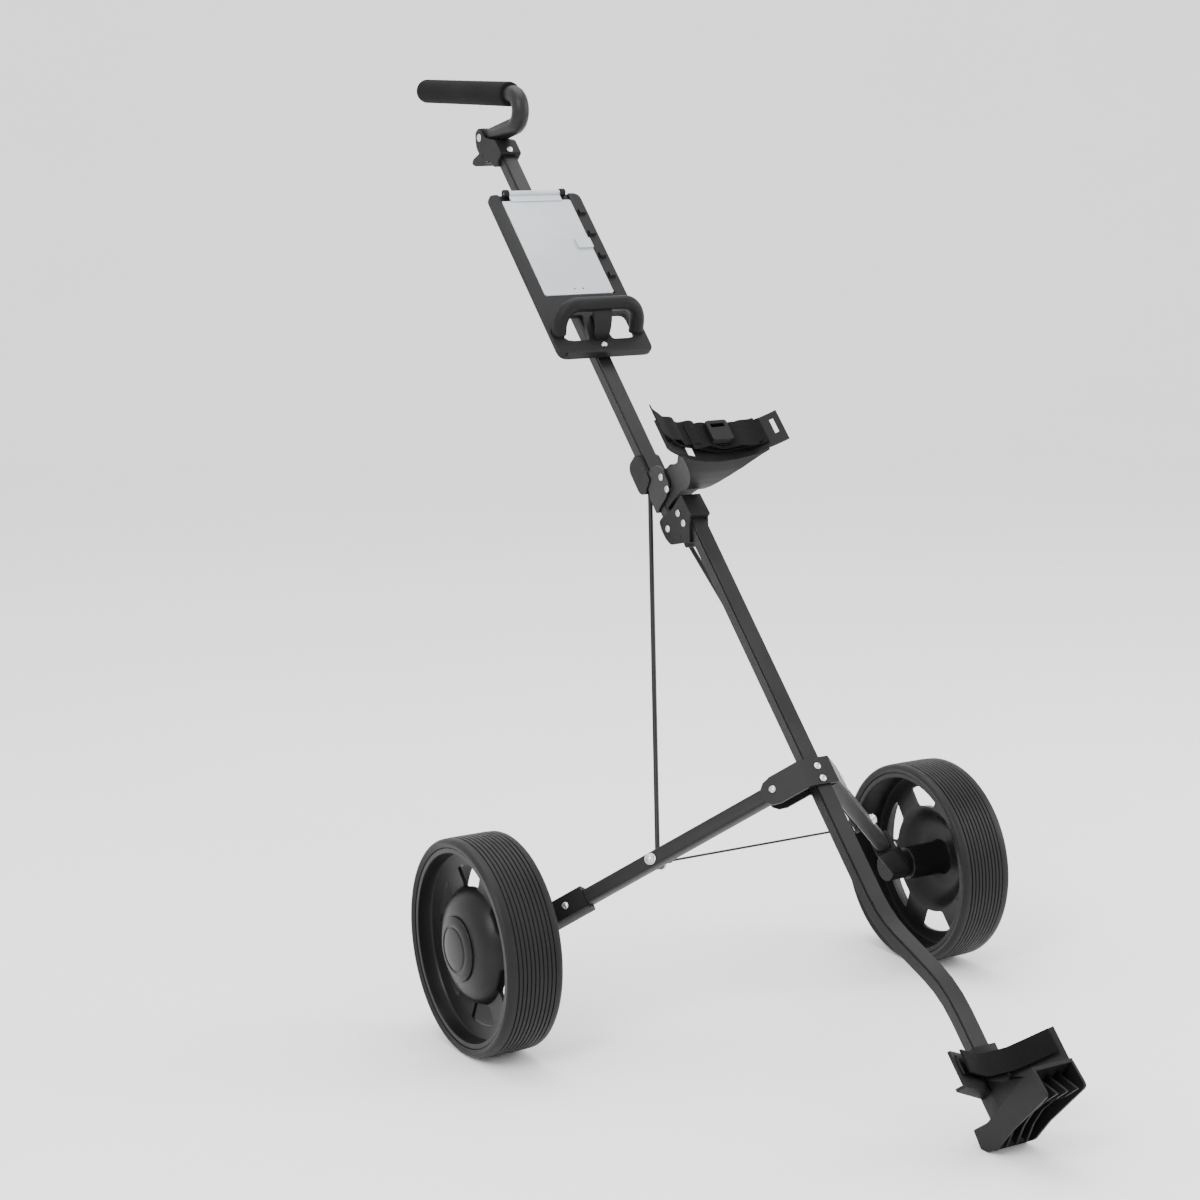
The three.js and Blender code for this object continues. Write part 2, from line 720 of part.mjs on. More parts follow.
function footWings() {
  const line = [
    [-65, -115],
    [-15, -80],
    [15, -80],
    [65, -115],
  ].map(([x, y]) => new Vector2(x, y));
  const wing = alongZ(strip(line, 0, 3.5), -681, -644);
  const slots = [-1, 1].map((hand) => {
    const slot = new THREE.BoxGeometry(6, 30, 20);
    return slot.rotateZ(-hand * 55 * RADIANS).translate(hand * 58, -109, -658);
  });
  const flange = (hand) => {
    const plan = outline([
      [hand * 14, -62],
      [hand * 73, -107],
      [hand * 65, -115],
      [hand * 14, -80],
    ]);
    return alongZ(plan, -683.5, -680);
  };
  return [cut(wing, ...slots), flange(-1), flange(1)];
}

function footBracket() {
  const socket = alongZ(rectangle(-FOOT.socketHalf, -84, FOOT.socketHalf, -58, 3), -706, -636, 2);
  const floor = alongX(
    outline([
      [-168, -697],
      [-66, -711],
      [-46, -714],
      [-46, -718],
      [-168, -701],
    ]),
    -FOOT.half,
    FOOT.half,
  );
  const toe = alongX(
    outline([
      [-38, -723.6],
      [-46, -731.1],
      [-60, -726],
      [-60, -708],
      [-42, -708],
    ]),
    -FOOT.half,
    FOOT.half,
  );
  const ribSide = new Shape();
  ribSide.moveTo(-62, -735);
  ribSide.lineTo(-50, -712);
  ribSide.lineTo(-150, -699);
  ribSide.quadraticCurveTo(-160, -712, -171, -729);
  ribSide.lineTo(-150, -727);
  ribSide.quadraticCurveTo(-110, -712, -62, -735);
  const ribs = [-12.5, 0, 12.5].map((x) => alongX(ribSide, x - 1.3, x + 1.3, 4));
  const gusset = outline([
    [-83, -673],
    [-104, -684],
    [-150, -699],
    [-60, -712],
  ]);
  const gussets = [-13, 13].map((x) => alongX(gusset, x - 1.5, x + 1.5));
  const half = SHAFT.width / 2 + GAP;
  const wayTop = SHAFT.depth / 2 + GAP;
  const way = alongZ(rectangle(-half, TOE_Y - wayTop, half, TOE_Y + wayTop), LOWER_END - GAP, -600);
  const body = join(socket, floor, toe, ...footSides(), ...footWings(), ...ribs, ...gussets);
  return cut(body, way, rodX(TOE_Y, FOOT_PIN_Z, RIVET.bore, -30, 30));
}

function footStrap() {
  const line = roundedLine([[-56, -116.5], [-19, -88.5], [19, -88.5], [56, -116.5]], 8, 2);
  return alongZ(strip(line, -2.5, 0), -671, -646);
}

// ---- Legs, in a frame at the leg's pivot: x along the leg, -y its front, z up the shaft -------
const toLegFrame = (geometry) => geometry.rotateZ(-LEG_SPREAD * RADIANS);

function legTube() {
  const { width, depth, wall, inner, end } = LEG;
  const half = { y: depth / 2, z: width / 2 };
  const section = rectangle(-half.y, -half.z, half.y, half.z, 3);
  const bore = rectangle(wall - half.y, wall - half.z, half.y - wall, half.z - wall, 2);
  section.holes.push(bore);
  const tube = alongX(section, inner, end, 2);
  const holes = [0, LEG_BOLT_AT].map((x) => rodY(x, 0, RIVET.bore, -20, 20));
  const screwHole = rodY(SLEEVE.screwAt, 0, RIVET.bore, -20, 0);
  return cut(tube, ...holes, screwHole);
}

function axleHolder() {
  const { from, to, width, depth, screwAt } = SLEEVE;
  const sleeve = alongX(rectangle(-depth / 2, -width / 2, depth / 2, width / 2, 4), from, to, 2);
  const boss = toLegFrame(turned([[0, -21], [17, -21], [17, 4], [0, 4]], 20)).translate(AXLE_AT, 0, 0);
  const half = { y: LEG.depth / 2 + GAP, z: LEG.width / 2 + GAP };
  const way = alongX(rectangle(-half.y, -half.z, half.y, half.z), from - 5, LEG.end + GAP);
  const bore = toLegFrame(turned([[0, -17], [AXLE.radius + GAP, -17], [AXLE.radius + GAP, 30], [0, 30]], 16));
  return cut(join(sleeve, boss), way, bore.translate(AXLE_AT, 0, 0), rodY(screwAt, 0, RIVET.bore, -20, 0));
}

const legPivotPin = () => rivetY(-LEG_FRONT - GAP, LEG.depth / 2 + 2 * GAP + REAR_PLATE.thickness + 0.3);
const sleeveScrew = () =>
  rivetY(-SLEEVE.depth / 2 - GAP, -LEG.depth / 2 + 4, { shank: 2.6, head: 4.2, rise: 1.6 });

function legBolt() {
  const front = -LEG.depth / 2 - GAP;
  const profile = [
    [0, front - 6],
    [3.6, front - 6],
    [5.6, front - 4.6],
    [5.6, front - 1.4],
    [6.6, front - 1.4],
    [6.6, front],
    [RIVET.shank, front],
    [RIVET.shank, 21],
    [5.2, 21],
    [5.2, 24.5],
    [0, 24.5],
  ];
  return turned(profile, 12).rotateZ(Math.PI / 2).translate(LEG_BOLT_AT, 0, 0);
}

function ringOnBolt(from, to, outer) {
  const inner = RIVET.shank + GAP;
  const profile = [[inner, from], [outer, from], [outer, to], [inner, to], [inner, from]];
  return turned(profile, 8).rotateZ(Math.PI / 2).translate(LEG_BOLT_AT, 0, 0);
}

// ---- Rods and cable, in the shaft frame on the right-hand side -------------------------------
const ROD_DEPTH = 11.8; // how far behind the leg's middle the rod lies
const CABLE_EYE = { from: 15.2, to: 18.6 };

function fromLeg(x, y, z) {
  const point = new Vector3(x, y, z).applyAxisAngle(Z, LEG_SPREAD * RADIANS);
  return point.add(new Vector3(LEG_PIVOT.x, LEG_PIVOT.y, LEG_PIVOT.z));
}
const inShaftFrame = (geometry) =>
  geometry.rotateZ(LEG_SPREAD * RADIANS).translate(LEG_PIVOT.x, LEG_PIVOT.y, LEG_PIVOT.z);

function pushRod() {
  const bolt = fromLeg(LEG_BOLT_AT, ROD_DEPTH, 0);
  const top = new Vector3(ROD.topX, ROD.topY, ROD.topZ);
  const along = top.clone().sub(bolt).normalize();
  const bottom = bolt.clone().addScaledVector(along, ROD.startsFromBolt);
  return pipe([bottom, top], ROD.radius, 0, 4);
}

function halfCable() {
  const end = fromLeg(LEG_BOLT_AT - 4.2, (CABLE_EYE.from + CABLE_EYE.to) / 2, 0);
  const middle = new Vector3(GAP / 2, end.y, end.z);
  const strand = pipe([end, middle], CABLE_RADIUS, 0, 4);
  const bore = inShaftFrame(rodY(LEG_BOLT_AT, 0, RIVET.shank + GAP, 0, 40));
  return cut(join(strand, inShaftFrame(ringOnBolt(CABLE_EYE.from, CABLE_EYE.to, 5.2))), bore);
}

// ---- Wheels, about the axle's line: profiles are [radius, distance outward] ---------------------
const RIM_PROFILE = [
  [6.3, -32],
  [20, -32],
  [20, 24],
  [36, 27],
  [50, 20],
  [62, 6],
  [94, 7],
  [106, 9],
  [106, -31],
  [112, -31],
  [112, 31],
  [106, 31],
  [106, 14],
  [92, 11],
  [68, 10],
  [64, 18],
  [50, 28],
  [38, 32],
  [6.3, 33],
  [6.3, -32],
];
const WINDOW = { inner: 64.5, outer: 89, half: 18, count: 6, first: 38 };

function wheelRim() {
  const disk = turned(RIM_PROFILE, WHEEL.sides);
  const { inner, outer, half, count, first } = WINDOW;
  const windows = Array.from({ length: count }, (_, i) => {
    const middle = Math.PI - (first + (i * 360) / count) * RADIANS;
    const shape = new Shape();
    shape.absarc(0, 0, outer, middle - half * RADIANS, middle + half * RADIANS, false);
    shape.absarc(0, 0, inner, middle + 0.8 * half * RADIANS, middle - 0.8 * half * RADIANS, true);
    shape.closePath();
    return alongX(shape, 0, 40, 2);
  });
  return cut(disk, ...windows);
}

function tyre() {
  const { radius, halfWidth } = WHEEL;
  const inner = 112 + GAP;
  const half = [
    [radius, halfWidth - 9],
    [radius - 1.5, halfWidth - 3],
    [radius - 5, halfWidth],
    [inner, halfWidth - 2],
  ];
  const mirrored = half.map(([reach, x]) => [reach, -x]).reverse();
  return turned([...mirrored, ...half, mirrored[0]], WHEEL.sides);
}

const hubCap = () =>
  turned([[0, 33.4], [36.5, 33.4], [36, 35], [25, 39.5], [0, 40]], 20);

function wheelAxle() {
  const { radius, from, to } = AXLE;
  const profile = [
    [0, from + 2],
    [radius, from + 2],
    [radius, 269],
    [10, 269],
    [10, 272],
    [radius, 272],
    [radius, to],
    [0, to],
  ];
  return turned(profile, 12);
}

// ---- Assembly ----------------------------------------------------------------------------
addTo(shaftFrame, "lower_shaft", lowerShaft(), paintedSteel);
addTo(shaftFrame, "upper_shaft", upperShaft(), paintedSteel);
addTo(shaftFrame, "hinge_bracket", hingeBracket(), blackPlastic);
BRACKET_RIVETS.forEach(({ y, z }, i) => {
  const rivet = rivetX(-SIDE_PLATE.outer - GAP, SIDE_PLATE.outer + GAP).translate(0, y, z);
  addTo(shaftFrame, `bracket_rivet_${i + 1}`, rivet, zincSteel);
});
const hingePin = rivetX(-SIDE_PLATE.outer - GAP, SIDE_PLATE.outer + GAP);
addTo(shaftFrame, "hinge_pin", hingePin.translate(0, FOLD_PIVOT.y, FOLD_PIVOT.z), zincSteel);
addTo(shaftFrame, "fold_latch", foldLatch(), blackPlastic);

addTo(shaftFrame, "cradle", cradle(), blackPlastic);
addTo(shaftFrame, "cradle_bracket", cradleBracket(), paintedSteel);
CRADLE_RIVETS.forEach(({ y, z }, i) => {
  const rivet = rivetX(-CRADLE_FLANGE.outer - GAP, CRADLE_FLANGE.outer + GAP).translate(0, y, z);
  addTo(shaftFrame, `cradle_rivet_${i + 1}`, rivet, zincSteel);
});
addTo(shaftFrame, "cradle_strap", cradleStrap(), strapWebbing);
addTo(shaftFrame, "strap_buckle", strapBuckle(), blackPlastic);
addTo(shaftFrame, "rod_collar", rodCollar(), blackPlastic);

addTo(shaftFrame, "console_plate", consolePlate(), blackPlastic);
const screwSize = { shank: 2.6, head: 4.5, rise: 2 };
const consoleScrew = rivetY(CONSOLE.front - CONSOLE.rim - GAP, 8, screwSize);
addTo(shaftFrame, "console_screw", consoleScrew.translate(0, 0, CONSOLE_SCREW_Z), zincSteel);
addTo(shaftFrame, "scorecard_cover", scorecardCover(), frostedPlastic);

addTo(shaftFrame, "head_clamp", headClamp(), blackPlastic);
const headScrew = rivetY(-GAP, 10, screwSize);
addTo(shaftFrame, "head_screw", headScrew.translate(0, 0, HEAD_SCREW_Z), zincSteel);
const handlePin = rivetX(-14.5 - GAP, 14.5 + GAP, { ...RIVET, head: 5 });
addTo(shaftFrame, "handle_pin", handlePin.translate(0, HANDLE_PIVOT.y, HANDLE_PIVOT.z), paintedSteel);
addTo(shaftFrame, "lock_lever", lockLever(), blackPlastic);

const handleFrame = new THREE.Group();
handleFrame.position.set(0, HANDLE_PIVOT.y, HANDLE_PIVOT.z);
handleFrame.rotation.x = -shaftFrame.rotation.x;
shaftFrame.add(handleFrame);
addTo(handleFrame, "handle_hook", handleHook(), paintedSteel);
addTo(handleFrame, "handle_grip", handleGrip(), gripFoam);

addTo(shaftFrame, "yoke_front_plate", yokePlate(FRONT_PLATE, 0), paintedSteel);
addTo(shaftFrame, "yoke_rear_plate", yokePlate(REAR_PLATE, REAR_OFFSET), paintedSteel);
YOKE_RIVETS.forEach((z, i) => {
  const rear = REAR_PLATE.y + REAR_PLATE.thickness + GAP;
  const rivet = rivetY(FRONT_PLATE.y - GAP, rear).translate(0, 0, z);
  addTo(shaftFrame, `yoke_rivet_${i + 1}`, rivet, zincSteel);
});
addTo(shaftFrame, "foot_bracket", footBracket(), blackPlastic);
addTo(shaftFrame, "foot_strap", footStrap(), strapWebbing);

for (const [name, hand] of [
  ["left", -1],
  ["right", 1],
]) {
  const half = new THREE.Group();
  half.scale.x = hand;
  shaftFrame.add(half);
  const leg = new THREE.Group();
  leg.position.set(LEG_PIVOT.x, LEG_PIVOT.y, LEG_PIVOT.z);
  leg.rotation.z = LEG_SPREAD * RADIANS;
  half.add(leg);
  addTo(leg, `${name}_leg_tube`, legTube(), paintedSteel);
  addTo(leg, `${name}_leg_pivot`, legPivotPin(), zincSteel);
  addTo(leg, `${name}_axle_holder`, axleHolder(), blackPlastic);
  addTo(leg, `${name}_sleeve_screw`, sleeveScrew().translate(SLEEVE.screwAt, 0, 0), zincSteel);
  addTo(leg, `${name}_leg_bolt`, legBolt(), zincSteel);
  addTo(half, `${name}_push_rod`, pushRod(), paintedSteel);
  addTo(half, `${name}_spreader_cable`, halfCable(), paintedSteel);

  const wheel = new THREE.Group();
  wheel.scale.x = hand;
  wheel.position.set(0, SHAFT_ORIGIN[1], WHEEL.z);
  trolley.add(wheel);
  addTo(wheel, `${name}_axle`, wheelAxle(), zincSteel);
  addTo(wheel, `${name}_rim`, wheelRim().translate(WHEEL.x, 0, 0), blackPlastic);
  addTo(wheel, `${name}_tyre`, tyre().translate(WHEEL.x, 0, 0), tyreRubber);
  addTo(wheel, `${name}_hub_cap`, hubCap().translate(WHEEL.x, 0, 0), blackPlastic);
}

export default trolley;
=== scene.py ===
import json
from math import cos, pi, radians, sin

import bmesh
import bpy
from mathutils import Matrix, Vector


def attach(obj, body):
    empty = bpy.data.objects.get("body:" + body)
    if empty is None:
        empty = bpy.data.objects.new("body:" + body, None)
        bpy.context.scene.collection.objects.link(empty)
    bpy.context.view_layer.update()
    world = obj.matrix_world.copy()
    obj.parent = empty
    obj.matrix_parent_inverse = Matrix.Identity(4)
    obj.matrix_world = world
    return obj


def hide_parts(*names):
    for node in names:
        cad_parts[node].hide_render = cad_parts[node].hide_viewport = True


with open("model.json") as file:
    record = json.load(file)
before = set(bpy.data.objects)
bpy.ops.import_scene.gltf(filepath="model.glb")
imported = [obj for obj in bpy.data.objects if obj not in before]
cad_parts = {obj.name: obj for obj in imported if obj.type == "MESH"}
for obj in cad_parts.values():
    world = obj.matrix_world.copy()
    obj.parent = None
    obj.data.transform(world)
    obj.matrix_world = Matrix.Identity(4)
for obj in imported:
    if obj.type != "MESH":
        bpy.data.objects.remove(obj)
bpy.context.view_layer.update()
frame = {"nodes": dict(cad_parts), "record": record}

MM = 0.001
LEAN = radians(46.6)
ORIGIN_Y, ORIGIN_Z = -41.35, 500.0
LEG_TURN = radians(48)
LEG_PIVOT = (37.3, 6.87, -274.5)
LEG_BOLT_AT = 158.3
HANDLE_PIVOT = (29, 732)
WHEEL_X, WHEEL_Z = 305, 122.5
HANDS = {"left": -1, "right": 1}


# ---- Places: the shaft frame has x across, y towards the user and z up the shaft ----
def shaft(x, y, z):
    """A point of the leaning shaft's own frame, in the row frame."""
    world_y = ORIGIN_Y + sin(LEAN) * y + cos(LEAN) * z
    return Vector((x, world_y, ORIGIN_Z - cos(LEAN) * y + sin(LEAN) * z)) * MM


def leg(hand, along, back, up=0.0):
    """A point of one leg: along it from its pivot, back towards the user, and up the shaft."""
    x = LEG_PIVOT[0] + cos(LEG_TURN) * along - sin(LEG_TURN) * back
    y = LEG_PIVOT[1] + sin(LEG_TURN) * along + cos(LEG_TURN) * back
    return shaft(hand * x, y, LEG_PIVOT[2] + up)


# ---- Materials ----
GRAIN_HEIGHT, THREAD_HEIGHT, THREAD_SCALE = 0.0003, 0.0006, 190


def surface(name, dark, light, rough, metallic=0.0, grain=900.0, depth=0.15, blotch=14.0, **sockets):
    """A finish that varies between two colours and two roughnesses, with a fine grain."""
    made = bpy.data.materials.new(name)
    made.use_nodes = True
    tree = made.node_tree
    add, link = tree.nodes.new, tree.links.new
    shader = tree.nodes["Principled BSDF"]
    place = add("ShaderNodeTexCoord")
    fine = add("ShaderNodeTexNoise")
    fine.inputs["Scale"].default_value = grain
    fine.inputs["Detail"].default_value = 3
    wide = add("ShaderNodeTexNoise")
    wide.inputs["Scale"].default_value = blotch
    wide.inputs["Detail"].default_value = 6
    for tex in (fine, wide):
        link(place.outputs["Object"], tex.inputs["Vector"])
    ramp = add("ShaderNodeValToRGB")
    ramp.color_ramp.elements[0].position = 0.3
    ramp.color_ramp.elements[1].position = 0.7
    ramp.color_ramp.elements[0].color = (*dark, 1)
    ramp.color_ramp.elements[1].color = (*light, 1)
    link(wide.outputs["Fac"], ramp.inputs["Fac"])
    link(ramp.outputs["Color"], shader.inputs["Base Color"])
    spread = add("ShaderNodeMapRange")
    spread.inputs["To Min"].default_value = rough[0]
    spread.inputs["To Max"].default_value = rough[1]
    link(wide.outputs["Fac"], spread.inputs["Value"])
    link(spread.outputs["Result"], shader.inputs["Roughness"])
    bump = add("ShaderNodeBump")
    bump.inputs["Strength"].default_value = depth
    bump.inputs["Distance"].default_value = GRAIN_HEIGHT
    link(fine.outputs["Fac"], bump.inputs["Height"])
    link(bump.outputs["Normal"], shader.inputs["Normal"])
    shader.inputs["Metallic"].default_value = metallic
    for socket, value in sockets.items():
        shader.inputs[socket.replace("_", " ")].default_value = value
    return made


def grey(level, blue=0.0):
    return (level, level, level + blue)


def woven(name):
    """Webbing: threads both ways."""
    made = surface(name, grey(0.003), grey(0.007), (0.75, 0.95), grain=1500, Specular_IOR_Level=0.12)
    tree = made.node_tree
    place = tree.nodes["Texture Coordinate"]
    bump = tree.nodes["Bump"]
    total = None
    for direction in ("X", "Z"):
        wave = tree.nodes.new("ShaderNodeTexWave")
        wave.bands_direction = direction
        wave.inputs["Scale"].default_value = THREAD_SCALE
        tree.links.new(place.outputs["Object"], wave.inputs["Vector"])
        if total is None:
            total = wave.outputs["Fac"]
        else:
            both = tree.nodes.new("ShaderNodeMath")
            both.operation = "MULTIPLY"
            tree.links.new(total, both.inputs[0])
            tree.links.new(wave.outputs["Fac"], both.inputs[1])
            total = both.outputs[0]
    tree.links.new(total, bump.inputs["Height"])
    bump.inputs["Strength"].default_value = 0.6
    bump.inputs["Distance"].default_value = THREAD_HEIGHT
    return made


LOOKS = {
    "steel": surface(
        "powder_coat", grey(0.006), grey(0.011), (0.3, 0.44), 0.0, 1400, 0.22, Specular_IOR_Level=0.22
    ),
    "plastic": surface(
        "textured_plastic", grey(0.004), grey(0.008), (0.4, 0.58), 0.0, 1100, 0.3, Specular_IOR_Level=0.16
    ),
    "rim": surface("rim_plastic", grey(0.004), grey(0.007), (0.3, 0.42), 0.0, 800, 0.12, Specular_IOR_Level=0.2),
    "tyre": surface("tyre_rubber", grey(0.004), grey(0.009), (0.4, 0.56), 0.0, 600, 0.25, Specular_IOR_Level=0.2),
    "zinc": surface("zinc_plate", grey(0.45), grey(0.68, 0.01), (0.2, 0.38), 1.0, 500, 0.1, 90),
    "frosted": surface(
        "frosted_sheet", (0.50, 0.54, 0.58), (0.60, 0.64, 0.68), (0.28, 0.42), 0.0, 1300, 0.12, 9,
        Transmission_Weight=0.35,
    ),
    "foam": surface("grip_foam", grey(0.004), grey(0.008), (0.85, 1.0), 0.0, 1800, 0.6, Specular_IOR_Level=0.15),
    "webbing": woven("webbing"),
    "cable": surface("cable_coat", grey(0.008), grey(0.02), (0.3, 0.5), 0.5, 900, 0.1),
}


# ---- Meshes ----
def solid(name, verts, faces, sharp=35.0):
    """A mesh object, smooth except where its faces meet at more than sharp degrees."""
    mesh = bpy.data.meshes.new(name)
    mesh.from_pydata([tuple(v) for v in verts], [], faces)
    mesh.validate()
    mesh.polygons.foreach_set("use_smooth", [True] * len(mesh.polygons))
    mesh.set_sharp_from_angle(angle=radians(sharp))
    made = bpy.data.objects.new(name, mesh)
    bpy.context.scene.collection.objects.link(made)
    return made


def across(axis):
    """Two directions square to axis and to each other."""
    helper = Vector((0, 0, 1)) if abs(axis.z) < 0.9 else Vector((1, 0, 0))
    u = axis.cross(helper).normalized()
    return u, axis.cross(u).normalized()


def lathe(name, profile, origin, axis, segments=64, sharp=35.0):
    """A closed solid turned about axis from origin; profile holds (radius, distance along) in mm."""
    axis = axis.normalized()
    u, v = across(axis)
    verts, rings = [], []
    for reach, along in profile:
        if reach < 1e-6:
            rings.append([len(verts)] * segments)
            verts.append(origin + axis * along * MM)
            continue
        rings.append(list(range(len(verts), len(verts) + segments)))
        for i in range(segments):
            angle = 2 * pi * i / segments
            verts.append(origin + (axis * along + (u * cos(angle) + v * sin(angle)) * reach) * MM)
    faces = []
    if profile[0] == profile[-1]:
        rings[-1] = rings[0]
    for a, b in zip(rings, rings[1:]):
        for i in range(segments):
            j = (i + 1) % segments
            face = [a[i], a[j], b[j], b[i]]
            face = [p for k, p in enumerate(face) if p not in face[:k]]
            if len(face) > 2:
                faces.append(face)
    return solid(name, verts, faces, sharp)


def sweep(name, points, radius, segments=20, squash=None, sharp=50.0):
    """A solid round bar, or a flat one if squash gives (width direction, half thickness, half width)."""
    tangents = []
    for i, p in enumerate(points):
        before, after = points[max(i - 1, 0)], points[min(i + 1, len(points) - 1)]
        tangents.append((after - before).normalized())
    u, v = across(tangents[0])
    verts, rings = [], []
    for i, (p, t) in enumerate(zip(points, tangents)):
        if squash:
            wide, half_thin, half_wide = squash
            thin = t.cross(wide).normalized()
            corner = 0.55 * half_thin
            section = [
                (half_wide - corner, half_thin), (half_wide, half_thin - corner),
                (half_wide, corner - half_thin), (half_wide - corner, -half_thin),
                (corner - half_wide, -half_thin), (-half_wide, corner - half_thin),
                (-half_wide, half_thin - corner), (corner - half_wide, half_thin),
            ]
            ring = [p + (wide * a + thin * b) * MM for a, b in section]
        else:
            u = (u - t * u.dot(t)).normalized()
            v = t.cross(u)
            angles = [2 * pi * k / segments for k in range(segments)]
            ring = [p + (u * cos(a) + v * sin(a)) * radius * MM for a in angles]
        rings.append(list(range(len(verts), len(verts) + len(ring))))
        verts += ring
    faces = [rings[0][::-1], rings[-1]]
    n = len(rings[0])
    for a, b in zip(rings, rings[1:]):
        faces += [[a[k], a[(k + 1) % n], b[(k + 1) % n], b[k]] for k in range(n)]
    return solid(name, verts, faces, sharp)


def joined(name, parts):
    """Makes one piece of several."""
    verts, faces = [], []
    for part in parts:
        base = len(verts)
        verts += [tuple(v.co) for v in part.data.vertices]
        faces += [[base + i for i in p.vertices] for p in part.data.polygons]
        bpy.data.objects.remove(part)
    return solid(name, verts, faces)


def finish_piece(piece, body, slot, *nodes):
    """Gives a piece its finish and the body it rides, and hides the nodes it stands for."""
    piece.data.materials.clear()
    piece.data.materials.append(LOOKS[slot])
    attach(piece, body)
    if nodes:
        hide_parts(*nodes)
    return piece


# ---- CAD pieces: finish and softened edges ----
SLOT_OF = {row["node"]: row["material_slot"] for row in frame["record"]["subparts"]}
BODY_OF = {n: b for b, ns in frame["record"]["behaviour"]["bodies"].items() for n in ns}
EDGE = {"plastic": 0.8, "steel": 0.7, "frosted": 0.3, "zinc": 0.3}
for name, node in frame["nodes"].items():
    slot = SLOT_OF[name]
    node.data.materials.clear()
    node.data.materials.append(LOOKS[slot])
    if "custom_normal" in node.data.attributes:
        node.data.attributes.remove(node.data.attributes["custom_normal"])
    node.data.polygons.foreach_set("use_smooth", [True] * len(node.data.polygons))
    weld = node.modifiers.new("weld", "WELD")
    weld.merge_threshold = 2e-6
    bevel = node.modifiers.new("soft_edges", "BEVEL")
    bevel.width = EDGE.get(slot, 0.4) * MM
    bevel.segments = 2
    bevel.limit_method = "ANGLE"
    bevel.angle_limit = radians(28)
    bevel.harden_normals = True

# ---- Rivets and screws ----
def rivet(node, a, b, head=4.2, rise=2.0, shank=2.6, screw=False):
    """A domed head at a, and one at b unless it is a screw."""
    length = (b - a).length / MM
    steps = 6
    dome = [
        (head * sin(pi / 2 * i / steps), -rise * cos(pi / 2 * i / steps)) for i in range(2, steps + 1)
    ]
    dimple = 0.55 * rise
    front = [(0, -dimple), (head * 0.26, -dimple), (head * 0.33, -rise * 0.93)] + dome
    front += [(shank, 0)]
    if screw:
        back = [(shank, length), (0, length)]
    else:
        back = [(reach, length - along) for reach, along in reversed(front)]
    made = lathe(node + "_round", front + back, a, b - a, 28)
    return finish_piece(made, BODY_OF[node], "zinc", node)


def crosswise(node, half, y, z, **size):
    return rivet(node, shaft(-half, y, z), shaft(half, y, z), **size)


crosswise("bracket_rivet_1", 13.25, -13.8, 89.2)
crosswise("bracket_rivet_2", 13.25, -15.5, 73.8)
crosswise("hinge_pin", 13.25, 17, 90)
crosswise("cradle_rivet_1", 12.95, -13.3, 142.7)
crosswise("cradle_rivet_2", 12.95, -14, 124.4)
for index, z in enumerate((-270.7, -286.3), 1):
    rivet(f"yoke_rivet_{index}", shaft(0, -31.35, z), shaft(0, -7.5, z))
for side, hand in HANDS.items():
    rivet(side + "_leg_pivot", leg(hand, 0, -11.75), leg(hand, 0, 11.75))
    rivet(side + "_sleeve_screw", leg(hand, 269, -12.35), leg(hand, 269, -4.3), rise=1.6, screw=True)
    bolt = [
        (0, -14.4), (2.4, -14.3), (3.6, -13.6), (3.9, -12.9), (5.4, -12.8), (5.6, -12.4), (5.6, -10.1),
        (6.5, -10.0), (6.6, -9.7), (6.6, -8.6), (2.7, -8.6), (2.7, 21), (5.0, 21), (5.2, 21.3),
        (5.2, 24.1), (4.9, 24.5), (0, 24.5),
    ]
    direction = leg(hand, 0, 1) - leg(hand, 0, 0)
    made = lathe(side + "_leg_bolt_round", bolt, leg(hand, LEG_BOLT_AT, 0), direction, 36)
    finish_piece(made, side + "_leg", "zinc", side + "_leg_bolt")

# ---- Wheels ----
TREAD_PITCH, TREAD_HALF, TREAD_DEPTH = 5.0, 27.5, 1.3
tyre_profile = [(112.4, -31.6), (117.2, -33.9), (119.3, -33.4), (121.0, -31.8), (122.0, -29.6)]
ribs = round(2 * TREAD_HALF / TREAD_PITCH)
for i in range(ribs):
    left = -TREAD_HALF + i * TREAD_PITCH
    crown = 122.45 if 0 < i < ribs - 1 else 122.2
    tyre_profile += [(crown, left), (crown, left + TREAD_PITCH - 1.7)]
    if i < ribs - 1:
        low = crown - TREAD_DEPTH
        tyre_profile += [(low, left + TREAD_PITCH - 1.3), (low, left + TREAD_PITCH - 0.5)]
tyre_profile += [(reach, -along) for reach, along in reversed(tyre_profile[:5])]
tyre_profile += [(115.5, 31.2), (115.3, 30.2), (112.4, 30.0), tyre_profile[0]]

rim_profile = [
    (6.3, -32), (19, -32), (20, -31), (20, 20), (22, 23), (36, 25.5), (43, 24.0), (50, 19.5), (56, 13),
    (62, 7), (66, 6), (94, 7), (103, 8.6), (105.6, 7.5), (106, 6), (106, -30.4), (106.6, -31), (111.4, -31),
    (112, -30.4), (112, 30.4), (111.4, 31), (107, 31), (106.2, 30.4), (105.6, 16.5), (104, 14), (100, 12.6),
    (92, 11), (70, 10.2), (66.5, 11.5), (64, 16), (60.5, 21), (55.5, 25.4), (50, 28.3), (44, 30.4),
    (38.6, 31.7), (37.6, 31.9), (37.2, 32.4), (6.3, 32.6), (6.3, -32),
]
cap_profile = [
    (0, 33.4), (36.2, 33.4), (36.5, 33.8), (36.0, 35.0), (33.5, 36.5), (27.5, 38.3), (26.2, 38.1), (25.2, 37.3),
    (24.4, 37.3), (23.4, 38.2), (21.5, 38.7), (12, 39.6), (0, 39.9),
]


